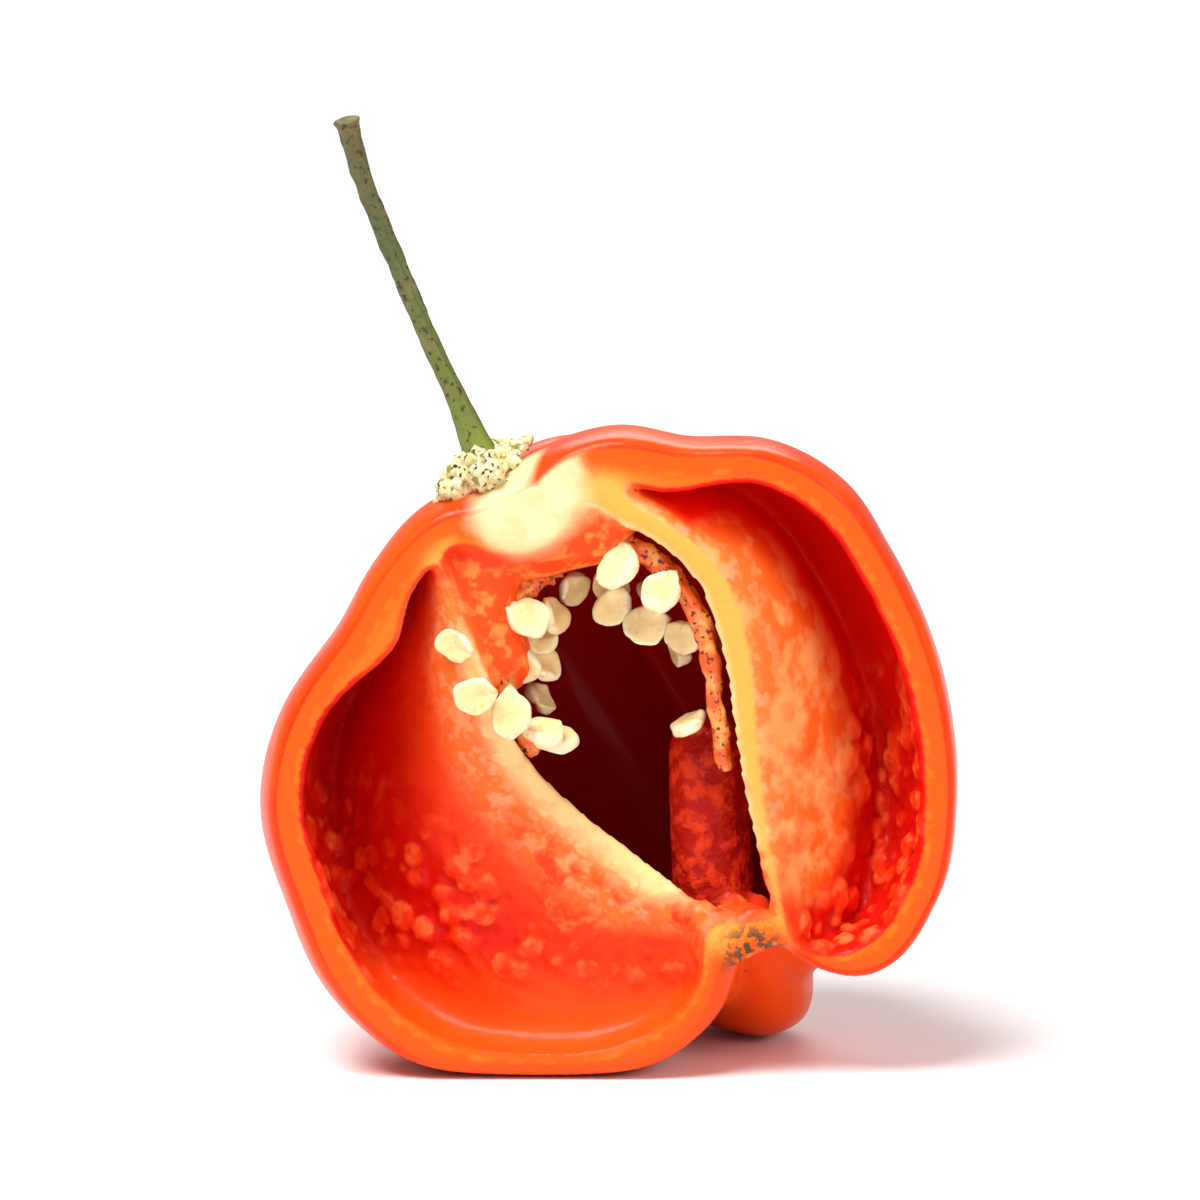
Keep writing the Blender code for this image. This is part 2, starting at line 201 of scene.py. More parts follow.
def lumps(points, size, draw):
    """Smooth random heights from -1 to 1, with bumps of about a size."""
    table = np.random.default_rng(draw).uniform(-1, 1, 4096)
    place = points / size
    base = np.floor(place).astype(np.int64)
    f = place - base
    f = f * f * (3 - 2 * f)
    total = np.zeros(len(points))
    for corner in itertools.product((0, 1), repeat=3):
        key = base + corner
        weight = np.prod(np.where(corner, f, 1 - f), axis=1)
        total += weight * table[(key[:, 0] * 73856093 ^ key[:, 1] * 19349663 ^ key[:, 2] * 83492791) & 4095]
    return total


def domes(points, spacing, draw):
    """Heights of round blisters of mixed size, scattered about a spacing apart."""
    table = np.random.default_rng(draw).uniform(0, 1, (4096, 4))
    base = np.floor(points / spacing).astype(np.int64)
    highest = np.zeros(len(points))
    for step in itertools.product((-1, 0, 1), repeat=3):
        key = base + step
        chance = table[(key[:, 0] * 73856093 ^ key[:, 1] * 19349663 ^ key[:, 2] * 83492791) & 4095]
        centre = (key + 0.15 + 0.7 * chance[:, :3]) * spacing
        radius = spacing * (0.2 + 0.6 * chance[:, 3])
        off = np.linalg.norm(points - centre, axis=1) / radius
        highest = np.maximum(highest, np.sqrt(np.clip(1 - off**2, 0, 1)) * radius)
    return highest


def septum_surface(septum, lean):
    """A septum's middle surface, as a search tree and its crowd of points."""
    edge, roots, _ = septum
    rows, columns = 110, 60
    share_down, share_back = np.meshgrid(np.linspace(0, 1, rows), np.linspace(0, 1, columns), indexing="ij")
    polar = SEPTUM_POLAR[0] + (SEPTUM_POLAR[1] - SEPTUM_POLAR[0]) * share_down
    azimuth = np.radians(along(roots, share_down))
    reach = skin_distance(polar, azimuth) - 0.2 * WALL
    root = np.stack([np.sin(polar) * np.cos(azimuth), np.sin(polar) * np.sin(azimuth), np.cos(polar)], -1) * reach[..., None]
    front = np.stack([along([p[k] for p in edge], share_down) for k in range(3)], -1)
    front[..., 1] -= AXIS_BEHIND_CUT
    arch = np.sin(math.pi * share_back) * np.sin(math.pi * share_down)
    points = front + (root - front) * share_back[..., None] + np.array((lean, -0.5, 0.0)) * SEPTUM_BULGE * arch[..., None]
    corners = points.reshape(-1, 3)
    quads = [
        (i * columns + j, (i + 1) * columns + j, (i + 1) * columns + j + 1, i * columns + j + 1)
        for i in range(rows - 1)
        for j in range(columns - 1)
    ]
    return BVHTree.FromPolygons(corners.tolist(), quads), corners


def surface_gap(points, surface, reach):
    """Distance to a middle surface where it is within reach, and the reach elsewhere."""
    tree, corners = surface
    low = corners.min(0) - 2 * reach
    size = np.ceil((corners.max(0) + 2 * reach - low) / reach).astype(int) + 1
    crowded = np.zeros(size, bool)
    cell = ((corners - low) / reach).astype(int)
    for step in itertools.product((-1, 0, 1), repeat=3):
        crowded[tuple((cell + step).T)] = True
    place = np.floor((points - low) / reach).astype(int)
    within = np.all((place >= 0) & (place < size), axis=1)
    within[within] = crowded[tuple(place[within].T)]
    gap = np.full(len(points), float(reach))
    for i in np.flatnonzero(within):
        found = tree.find_nearest(points[i], reach)
        if found[3] is not None:
            gap[i] = found[3]
    return gap


def strand(points, ends):
    """Distance to a round-ended strand of tissue."""
    top, foot, radius = np.array(ends[0]), np.array(ends[1]), ends[2]
    share = np.clip((points - top) @ (foot - top) / ((foot - top) @ (foot - top)), 0, 1)
    return np.linalg.norm(points - top - share[:, None] * (foot - top), axis=1) - radius


def tissue(points, septa):
    """Distances, in mm, to each kind of tissue: below zero inside it."""
    length = np.linalg.norm(points, axis=1)
    polar = np.arccos(np.clip(points[:, 2] / np.maximum(length, 1e-6), -1, 1))
    azimuth = np.arctan2(points[:, 1], points[:, 0])
    under = skin_distance(polar, azimuth) - length
    down = np.degrees(polar)
    shoulder = 1.1 * np.exp(-(((down - 45) / 11) ** 2)) * np.clip(0.5 - points[:, 0] / 6, 0, 1)
    wall = under - WALL - 0.6 * np.clip((62 - down) / 17, 0, 1) * np.clip(points[:, 0] / 4, 0, 1) - shoulder
    left, right = (surface_gap(points, surface, 4.0) - thickness / 2 for surface, thickness in septa)
    right = right + 0.3 * np.clip(-points[:, 2] / 10, 0, 1)
    centre, radii = np.array(CORE[0]), np.array(CORE[1])
    scaled = (points - centre) / radii
    core = (np.linalg.norm(scaled, axis=1) - 1) * radii.min()
    web = np.min([strand(points, ends) for ends in WEBS], axis=0)
    fold = strand(points, FOLD)
    knot = np.linalg.norm(points - np.array(BLOSSOM_CORE[0]), axis=1) - BLOSSOM_CORE[1]
    return {"under": under, "wall": wall, "left": left, "right": right, "core": core, "web": web, "fold": fold, "knot": knot}


def flesh_field(points, septa):
    """Below zero inside the flesh of the half."""
    parts = tissue(points, septa)
    fillet = 0.3 + 2.9 * np.clip((7.0 - points[:, 2]) / 9.0, 0, 1)
    lower = smooth_min(parts["wall"], parts["left"], fillet)
    lower = smooth_min(lower, parts["right"], 0.8)
    lower = smooth_min(lower, parts["core"], 1.0)
    lower = smooth_min(lower, parts["web"], 2.0)
    lower = smooth_min(lower, parts["fold"], 1.8)
    lower = smooth_min(lower, parts["knot"], 1.0)
    inside = -smooth_min(-lower, parts["under"], 0.3)
    before_cut = points[:, 1] + AXIS_BEHIND_CUT + 0.07 * lumps(points, 5.0, 8)
    inside = -smooth_min(-inside, before_cut, 0.45)
    return -smooth_min(-inside, standing(points)[:, 2], 1.6)


def net(values, low, cell):
    """Corners and quads of the closed surface where sampled values change sign."""
    keys, places, quads = [], [], []
    for axis in range(3):
        before = np.moveaxis(np.moveaxis(values, axis, 0)[:-1], 0, axis)
        after = np.moveaxis(np.moveaxis(values, axis, 0)[1:], 0, axis)
        crossed = (before < 0) != (after < 0)
        where = np.argwhere(crossed)
        share = before[crossed] / (before[crossed] - after[crossed])
        point = where.astype(float)
        point[:, axis] += share
        u, v = np.eye(3, dtype=int)[(axis + 1) % 3], np.eye(3, dtype=int)[(axis + 2) % 3]
        ring = [np.ravel_multi_index(tuple((where - step).T), values.shape) for step in (u + v, v, 0 * u, u)]
        quad = np.stack(ring, axis=1)
        inward = before[crossed] >= 0
        quad[inward] = quad[inward][:, ::-1]
        quads.append(quad)
        keys += ring
        places += [point] * 4
    flat_keys, flat_places = np.concatenate(keys), np.concatenate(places)
    cells, index = np.unique(flat_keys, return_inverse=True)
    count = np.bincount(index)
    corners = np.stack([np.bincount(index, flat_places[:, k]) / count for k in range(3)], axis=1)
    return low + corners * cell, np.searchsorted(cells, np.concatenate(quads))


def relaxed(corners, quads, rounds):
    """Corners drawn toward their neighbours' middle, which takes the sampling steps out of a surface."""
    ends = np.concatenate([quads[:, [i, (i + 1) % 4]] for i in range(4)])
    ends = np.concatenate([ends, ends[:, ::-1]])
    count = np.bincount(ends[:, 0])
    for _ in range(rounds):
        middle = [np.bincount(ends[:, 0], corners[ends[:, 1], k]) / count for k in range(3)]
        corners = (corners + np.stack(middle, axis=1)) / 2
    return corners


def new_piece(name, corners, faces, material, node_name):
    """A mesh piece in the standing frame, riding on the half."""
    mesh = bpy.data.meshes.new(name)
    mesh.from_pydata((np.asarray(corners) * MM).tolist(), [], [list(face) for face in faces])
    mesh.validate()
    mesh.materials.append(material)
    mesh.shade_smooth()
    piece = bpy.data.objects.new(name, mesh)
    bpy.context.scene.collection.objects.link(piece)
    return declare(piece, node_name)


def declare(piece, node_name):
    """Makes a piece ride on the half in place of a solid."""
    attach(piece, "root")
    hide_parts(node_name)
    return piece


def colour(code):
    """An sRGB hex colour as linear RGBA."""
    parts = [int(code[i : i + 2], 16) / 255 for i in (1, 3, 5)]
    return (*(p / 12.92 if p <= 0.04045 else ((p + 0.055) / 1.055) ** 2.4 for p in parts), 1.0)


def node(tree, kind, sockets=None, **settings):
    """Adds a node with its settings, and links or sets its sockets, which are named or numbered."""
    made = tree.nodes.new(kind)
    for name, value in settings.items():
        setattr(made, name, value)
    for key, value in (sockets or {}).items():
        if isinstance(value, bpy.types.NodeSocket):
            tree.links.new(value, made.inputs[key])
        else:
            made.inputs[key].default_value = value
    return made


def new_material(name, **sockets):
    """A material with a Principled shader, whose constants are set on its sockets."""
    material = bpy.data.materials.new(name)
    material.use_nodes = True
    tree = material.node_tree
    shader = tree.nodes["Principled BSDF"]
    for key, value in sockets.items():
        shader.inputs[key.replace("_", " ").title().replace("Ior", "IOR")].default_value = value
    return material, tree, shader


def flesh_material():
    """Ripe chilli flesh under a waxy skin. The skin is glossy orange-red, the cut is moist and paler, and
    the hollows are wet and deep red, blistered where large cells line the wall, and pale along the septa's
    free edges and round the core. Light and shade are painted in too: a darker red in the deep central
    hollow and on the fold there as painted shade, lighter tops and pale flecks on the blisters as painted
    highlights, and a lighter orange low in the hollows and a brighter red on the right hollow's wall as
    painted light."""
    material, tree, shader = new_material(
        "ripe_chilli_flesh",
        IOR=1.42,
        subsurface_weight=0.25,
        subsurface_scale=0.0009,
        subsurface_radius=(1.0, 0.3, 0.05),
        coat_weight=0.1,
        coat_roughness=0.1,
    )
    place = node(tree, "ShaderNodeTexCoord").outputs["Object"]
    names = ("under_skin", "behind_cut", "septum", "web", "fold", "right_face", "cream", "collar", "edge_gap", "right_side", "chamber", "blister", "bubble", "height", "scar")
    measured = {name: node(tree, "ShaderNodeAttribute", attribute_name=name).outputs["Fac"] for name in names}
    noise = {
        name: node(
            tree, "ShaderNodeTexNoise", {"Vector": place, "Scale": 1 / (size * MM), "Detail": detail, "Roughness": 0.55}
        ).outputs["Fac"]
        for name, size, detail in (("broad", 9.0, 2.0), ("patch", 2.6, 3.0), ("mottle", 1.1, 3.0), ("grain", 0.5, 3.0), ("fine", 0.25, 2.0))
    }
    # The free edges' pale margin wanders a little
    wander = node(tree, "ShaderNodeMath", {0: noise["mottle"], 1: 3.2, 2: -1.6}, operation="MULTIPLY_ADD").outputs[0]
    margin = node(tree, "ShaderNodeMath", {0: measured["edge_gap"], 1: wander}, operation="ADD").outputs[0]
    mask = {
        name: node(
            tree,
            "ShaderNodeMapRange",
            {"Value": source, "From Min": start, "From Max": end, "To Max": most},
            interpolation_type="SMOOTHSTEP",
        ).outputs["Result"]
        for name, source, start, end, most in (
            ("cut", measured["behind_cut"], 0.16, 0.05, 1.0),
            ("near_skin", measured["under_skin"], 0.55, 0.12, 1.0),
            ("skin_line", measured["under_skin"], 0.5, 0.15, 1.0),
            ("vein_in", measured["under_skin"], 1.2, 1.45, 1.0),
            ("vein_out", measured["under_skin"], 1.85, 1.6, 1.0),
            ("inner_line", measured["under_skin"], 1.4, 2.2, 1.0),
            ("deep", measured["under_skin"], 2.4, 4.0, 1.0),
            ("broad", noise["broad"], 0.38, 0.64, 1.0),
            ("patch", noise["patch"], 0.42, 0.62, 1.0),
            ("mottle", noise["mottle"], 0.45, 0.62, 1.0),
            ("dots", noise["grain"], 0.44, 0.54, 1.0),
            ("pores", noise["fine"], 0.66, 0.74, 1.0),
            ("far_margin", margin, 10.5, 4.5, 1.0),
            ("mid_margin", margin, 6.2, 2.2, 0.85),
            ("near_margin", margin, 2.0, 0.5, 0.9),
            ("floor", measured["height"], 9.0, 3.5, 0.9),
            ("bubble_top", measured["bubble"], 0.25, 0.75, 1.0),
        )
    }
    not_cut = node(tree, "ShaderNodeMath", {0: 1.0, 1: mask["cut"]}, operation="SUBTRACT").outputs[0]
    for name, first, second in (
        ("skin", mask["near_skin"], not_cut),
        ("blister_top_highlight", measured["blister"], mask["bubble_top"]),
        ("scar_dots", measured["scar"], mask["dots"]),
        ("vein", mask["vein_in"], mask["vein_out"]),
        ("collar", measured["collar"], mask["near_skin"]),
        ("margin_pale", mask["mid_margin"], mask["mottle"]),
    ):
        mask[name] = node(tree, "ShaderNodeMath", {0: first, 1: second}, operation="MULTIPLY").outputs[0]
    for name, first, second in (
        ("blister_pale_highlight", mask["blister_top_highlight"], mask["mottle"]),
        ("right_pale", measured["right_face"], mask["patch"]),
        ("vein", mask["vein"], mask["mottle"]),
        ("core_pink", measured["cream"], mask["patch"]),
        ("web_pale", measured["web"], mask["mottle"]),
        ("fold_pale", measured["fold"], mask["mottle"]),
    ):
        mask[name] = node(tree, "ShaderNodeMath", {0: first, 1: second}, operation="MULTIPLY").outputs[0]

    def layered(base, layers):
        """Lays colours over a base colour, each through its mask."""
        for through, over in layers:
            base = node(tree, "ShaderNodeMix", {0: through, 6: base, 7: over}, data_type="RGBA").outputs[2]
        return base

    lining = layered(
        colour("#d20702"),
        (
            # Brighter red on the right hollow's wall, to lift the shade under its rim: painted light
            (measured["right_side"], colour("#ea0c03")),
            (measured["blister"], colour("#d81203")),
            (mask["far_margin"], colour("#ee3c08")),
            (measured["right_face"], colour("#f76a1c")),
            # Lighter orange low in the hollows, where their floor faces the lamp: painted light
            (mask["floor"], colour("#f9560a")),
            (mask["mid_margin"], colour("#f87a30")),
            (mask["margin_pale"], colour("#fba470")),
            (mask["right_pale"], colour("#fba45c")),
            # Lighter red on the blisters' tops and pale flecks on them: painted highlights
            (mask["blister_top_highlight"], colour("#f03a10")),
            (mask["blister_pale_highlight"], colour("#f66a34")),
            (measured["web"], colour("#f24a0e")),
            (mask["web_pale"], colour("#f9843a")),
            # Darker red in the deep central hollow: painted shade
            (measured["chamber"], colour("#c80301")),
            # Darker red on the fold in the central hollow: painted shade, with a paler mottle that is the tissue's own
            (measured["fold"], colour("#ae0d03")),
            (mask["fold_pale"], colour("#dc3410")),
            (mask["near_margin"], colour("#fcd390")),
            (measured["cream"], colour("#f9d79c")),
        ),
    )
    section = layered(
        colour("#f9590a"),
        (
            (mask["inner_line"], colour("#fb7414")),
            (mask["vein"], colour("#fa7012")),
            (mask["deep"], colour("#fc9a34")),
            (measured["septum"], colour("#fcae4c")),
            (measured["cream"], colour("#fbe6b0")),
            (mask["core_pink"], colour("#fad49c")),
            (mask["skin_line"], colour("#ee3604")),
        ),
    )
    skin = layered(
        colour("#ee3f05"),
        ((mask["broad"], colour("#f55207")), (mask["pores"], colour("#f76310"))),
    )
    looks = layered(
        lining,
        (
            (mask["cut"], section),
            (mask["skin"], skin),
            (mask["collar"], colour("#f6dca4")),
            (mask["scar_dots"], colour("#54482c")),
        ),
    )
    tree.links.new(looks, shader.inputs["Base Color"])
    shader.inputs["Specular IOR Level"].default_value = 0.16

    rough = node(tree, "ShaderNodeMix", {0: mask["skin"], 2: 0.46, 3: 0.28}).outputs[0]
    inmost = node(tree, "ShaderNodeMath", {0: measured["chamber"], 1: measured["fold"]}, operation="ADD", use_clamp=True).outputs[0]
    rough = node(tree, "ShaderNodeMix", {0: inmost, 2: rough, 3: 0.65}).outputs[0]
    rough = node(tree, "ShaderNodeMix", {0: mask["cut"], 2: rough, 3: 0.5}).outputs[0]
    rough = node(tree, "ShaderNodeMath", {0: noise["grain"], 1: 0.1, 2: rough}, operation="MULTIPLY_ADD").outputs[0]
    tree.links.new(rough, shader.inputs["Roughness"])

    # Heights in mm: moist cut cells, and the skin's faint dimples
    height = node(tree, "ShaderNodeMath", {0: noise["patch"], 1: 0.06}, operation="MULTIPLY").outputs[0]
    cells = node(tree, "ShaderNodeTexVoronoi", {"Vector": place, "Scale": 1 / (0.9 * MM)}, feature="SMOOTH_F1").outputs["Distance"]
    for source, through, share in (
        (noise["fine"], mask["cut"], 0.05),
        (noise["grain"], mask["cut"], 0.06),
        (noise["grain"], mask["skin"], 0.015),
        (noise["mottle"], not_cut, 0.05),
        (noise["mottle"], measured["fold"], 0.5),
        (noise["grain"], measured["scar"], 0.35),
        (noise["grain"], measured["blister"], 0.06),
        (cells, measured["blister"], -0.4),
    ):
        part = node(tree, "ShaderNodeMath", {0: source, 1: through}, operation="MULTIPLY").outputs[0]
        height = node(tree, "ShaderNodeMath", {0: part, 1: share, 2: height}, operation="MULTIPLY_ADD").outputs[0]
    bump = node(tree, "ShaderNodeBump", {"Height": height, "Strength": 1.0, "Distance": MM}).outputs["Normal"]
    tree.links.new(bump, shader.inputs["Normal"])
    return material


def make_flesh():
    """The lobed wall with its skin, the septa, the core and the knot, as one grown body."""
    septa = (
        (septum_surface(LEFT_SEPTUM, -1.0), LEFT_SEPTUM[2]),
        (septum_surface(RIGHT_SEPTUM, 1.0), RIGHT_SEPTUM[2]),
    )
    low = np.array((-28.0, -AXIS_BEHIND_CUT - 2.37 * CELL, -31.0))
    shape = np.ceil((np.array((26.0, 26.0, 20.0)) - low) / CELL).astype(int)
    values = np.empty(shape)
    behind, up = np.meshgrid(low[1] + np.arange(shape[1]) * CELL, low[2] + np.arange(shape[2]) * CELL, indexing="ij")
    for i in range(shape[0]):
        points = np.stack([np.full(behind.size, low[0] + i * CELL), behind.ravel(), up.ravel()], axis=1)
        length = np.linalg.norm(points, axis=1)
        field = length - 20.0
        maybe = length < 30.0
        field[maybe] = flesh_field(points[maybe], septa)
        values[i] = field.reshape(behind.shape)
    corners, quads = net(values, low, CELL)
    corners = relaxed(corners, quads, 4)

    parts = tissue(corners, septa)
    behind_cut = corners[:, 1] + AXIS_BEHIND_CUT + 0.07 * lumps(corners, 5.0, 8)
    stands = standing(corners)
    polar = np.arccos(np.clip(corners[:, 2] / np.linalg.norm(corners, axis=1), -1, 1))
    azimuth = np.degrees(np.arctan2(corners[:, 1], corners[:, 0]))
    share_down = (polar - SEPTUM_POLAR[0]) / (SEPTUM_POLAR[1] - SEPTUM_POLAR[0])
    after_right = np.clip((azimuth - along(RIGHT_SEPTUM[1], share_down)) / 8, -1, 1) / 2 + 0.5
    before_left = np.clip((along(LEFT_SEPTUM[1], share_down) - azimuth) / 8, -1, 1) / 2 + 0.5
    inner = np.clip((parts["under"] - 1.2) / 0.8, 0, 1) * np.clip(behind_cut / 0.6, 0, 1)
    septum = np.exp(-((np.clip(np.minimum(parts["left"], parts["right"]), 0, None) / 0.9) ** 2))
    septum *= np.clip((parts["under"] - 0.9) / 1.4, 0, 1)
    web = np.exp(-((np.clip(parts["web"], 0, None) / 0.8) ** 2))
    # The fold, which the material paints a darker red as shade
    fold = np.exp(-((np.clip(parts["fold"], 0, None) / 0.5) ** 2)) * inner
    septum *= 1 - 0.8 * np.exp(-((np.linalg.norm(corners - np.array(BLOSSOM_CORE[0]), axis=1) / 3.2) ** 4))
    off = (corners - np.array(CREAM[0])) / np.array(CREAM[1])
    cream = np.clip((1.25 + 0.12 * lumps(corners, 1.3, 9) - np.linalg.norm(off, axis=1)) / 0.45, 0, 1)
    edge_gap = np.full(len(corners), 30.0)
    for septum_sizes, first in ((LEFT_SEPTUM, 0.2), (RIGHT_SEPTUM, 0.0)):
        free = np.stack([along([p[k] for p in septum_sizes[0]], np.linspace(first, 1, 30)) for k in range(3)], 1)
        free[:, 1] = np.maximum(free[:, 1] - AXIS_BEHIND_CUT, -AXIS_BEHIND_CUT)
        for point in free:
            edge_gap = np.minimum(edge_gap, np.linalg.norm(corners - point, axis=1))
    # The right hollow's wall, on which the material paints a brighter red as light
    right_side = np.clip((corners[:, 0] - 5.5 - 0.12 * corners[:, 2]) / 3.0 + 0.5, 0, 1) * (1 - after_right)
    right_face = right_side * septum * np.clip((parts["under"] - 5.0) / 2.5, 0, 1)
    edge_gap += 3.0 * np.clip((-11.5 - corners[:, 2]) / 3, 0, 1) + 3.0 * web
    edge_gap += 7.0 * (right_side - right_face) * np.clip((edge_gap - 1.5) / 1.5, 0, 1)
    # The deep central hollow, where the material paints a darker red as shade
    chamber = inner * after_right * before_left * np.clip((behind_cut - 2.5) / 3.5, 0, 1) * (1 - web) * (1 - fold)
    low_down = 1 / (1 + np.exp((stands[:, 2] - 15.0 - 9.0 * right_side - 3.0 * lumps(corners, 4.0, 5)) / 1.2))
    blister = inner * low_down * (1 - cream) * (1 - chamber) * (1 - fold) * np.clip((edge_gap - 1.6) / 1.4, 0, 1)
    blister *= np.clip((stands[:, 2] + 6.0 * right_side - 4.0) / 4.0, 0, 1) * (1 - 0.7 * right_face)
    bubble = domes(corners, 1.4, 3)
    scar = np.exp(-((np.linalg.norm(corners - np.array(BLOSSOM_SCAR), axis=1) / 2.1) ** 4))

    mesh = bpy.data.meshes.new("normals")
    mesh.from_pydata(corners.tolist(), [], quads.tolist())
    normals = np.empty(len(corners) * 3, np.float32)
    mesh.vertex_normals.foreach_get("vector", normals)
    normals = normals.reshape(-1, 3)
    bpy.data.meshes.remove(mesh)
    skin_side = np.clip(1 - parts["under"] / 0.4, 0, 1)
    rise = inner * (0.07 - 0.05 * chamber) * lumps(corners, 2.2, 1) + skin_side * 0.08 * lumps(corners, 5.0, 2)
    rise += blister * ((0.42 + 0.15 * right_side) * bubble + 0.16 * lumps(corners, 1.2, 4) + 0.12 * lumps(corners, 0.7, 6))
    rise *= np.clip(stands[:, 2] / 1.0, 0, 1) * np.clip(behind_cut / 0.5, 0, 1)
    moved = corners + normals * rise[:, None]

    flesh = new_piece("flesh_half", standing(moved), quads, flesh_material(), "flesh")
    for name, field in (
        ("under_skin", parts["under"]),
        ("behind_cut", behind_cut),
        ("septum", septum),
        ("web", web * inner),
        ("fold", fold),
        ("right_face", right_face),
        ("cream", cream),
        ("collar", cream * np.clip((4.9 - np.hypot(corners[:, 0], corners[:, 1])) / 0.8, 0, 1)),
        ("edge_gap", edge_gap),
        ("right_side", right_side),
        ("chamber", chamber),
        ("blister", blister),
        ("bubble", bubble),
        ("height", stands[:, 2]),
        ("scar", scar),
    ):
        flesh.data.attributes.new(name, "FLOAT", "POINT").data.foreach_set("value", field.astype(np.float32))
    return flesh


def tube(line, radii, sides, relief):
    """Corners and faces of a closed tube along a line. Relief is a height for each ring and side."""
    count = len(line)
    ahead = np.gradient(line, axis=0)
    ahead /= np.linalg.norm(ahead, axis=1)[:, None]
    right = np.cross(ahead, (0.0, 1.0, 0.0))
    right /= np.linalg.norm(right, axis=1)[:, None]
    over = np.cross(ahead, right)
    turn = np.linspace(0, 2 * math.pi, sides, endpoint=False)
    reach = radii[:, None] + relief
    corners = (
        line[:, None]
        + right[:, None] * (reach * np.cos(turn))[..., None]
        + over[:, None] * (reach * np.sin(turn))[..., None]
    ).reshape(-1, 3)
    corners = np.vstack([corners, line[0] - ahead[0] * radii[0] * 0.35, line[-1] + ahead[-1] * radii[-1] * 0.35])
    faces = [
        (i * sides + (j + 1) % sides, i * sides + j, (i + 1) * sides + j, (i + 1) * sides + (j + 1) % sides)
        for i in range(count - 1)
        for j in range(sides)
    ]
    last = (count - 1) * sides
    faces += [(j, (j + 1) % sides, count * sides) for j in range(sides)]
    faces += [(last + (j + 1) % sides, last + j, count * sides + 1) for j in range(sides)]
    return corners, faces


def faces_out(piece):
    """Turns every face of a closed piece outward."""
    bm = bmesh.new()
    bm.from_mesh(piece.data)
    bmesh.ops.recalc_face_normals(bm, faces=bm.faces)
    bm.to_mesh(piece.data)
    bm.free()


def arm_line(arm, count):
    """A placenta arm's line in even steps."""
    return np.stack([along([p[k] for p in arm], np.linspace(0, 1, count)) for k in range(3)], axis=1)


def placenta_material():
    """Spongy placenta tissue: pale orange-cream, moist, with torn, darker spots."""
    material, tree, shader = new_material(
        "placenta_tissue", subsurface_weight=0.4, subsurface_scale=0.001, subsurface_radius=(1.0, 0.5, 0.2), coat_weight=0.2
    )
    place = node(tree, "ShaderNodeTexCoord").outputs["Object"]
    patch = node(tree, "ShaderNodeTexNoise", {"Vector": place, "Scale": 1 / (1.3 * MM), "Detail": 4.0}).outputs["Fac"]
    grain = node(tree, "ShaderNodeTexNoise", {"Vector": place, "Scale": 1 / (0.35 * MM), "Detail": 3.0}).outputs["Fac"]
    base = colour("#ea5c10")
    for source, start, end, over in ((patch, 0.42, 0.6, "#f9a04e"), (grain, 0.58, 0.64, "#5e1c04")):
        through = node(tree, "ShaderNodeMapRange", {"Value": source, "From Min": start, "From Max": end}).outputs[0]
        base = node(tree, "ShaderNodeMix", {0: through, 6: base, 7: colour(over)}, data_type="RGBA").outputs[2]
    tree.links.new(base, shader.inputs["Base Color"])
    rough = node(tree, "ShaderNodeMapRange", {"Value": grain, "To Min": 0.35, "To Max": 0.6}).outputs[0]
    tree.links.new(rough, shader.inputs["Roughness"])
    bump = node(tree, "ShaderNodeBump", {"Height": grain, "Strength": 0.6, "Distance": 0.1 * MM}).outputs["Normal"]
    tree.links.new(bump, shader.inputs["Normal"])
    return material


def make_placenta():
    """The two knobbly arms that the seeds grow on."""
    corners, faces = [], []
    for arm, draw in ((LEFT_ARM, 21), (RIGHT_ARM, 22)):
        line = arm_line(arm, 90)
        share = np.linspace(0, 1, 90)
        radii = 0.85 - 0.4 * share
        radii[:3] *= (0.4, 0.75, 0.93)
        radii[-3:] *= (0.93, 0.75, 0.4)
        ring = np.stack(np.meshgrid(share * 26, np.linspace(0, 6.28, 20, endpoint=False), indexing="ij"), -1)
        sample = np.stack([ring[..., 0], 2 * np.cos(ring[..., 1]), 2 * np.sin(ring[..., 1])], -1).reshape(-1, 3)
        relief = (0.45 * lumps(sample, 1.1, draw) + 0.25 * lumps(sample, 0.5, draw + 5)).reshape(90, 20) * radii[:, None]
        more, quads = tube(line, radii, 20, relief)
        faces += [tuple(corner + len(corners) for corner in face) for face in quads]
        corners += more.tolist()
    mesh_corners = standing(np.array(corners))
    mesh = bpy.data.meshes.new("placenta")
    mesh.from_pydata((mesh_corners * MM).tolist(), [], faces)
    mesh.materials.append(placenta_material())
    mesh.shade_smooth()
    piece = bpy.data.objects.new("placenta", mesh)
    bpy.context.scene.collection.objects.link(piece)
    faces_out(piece)
    return declare(piece, "placenta_and_seeds")


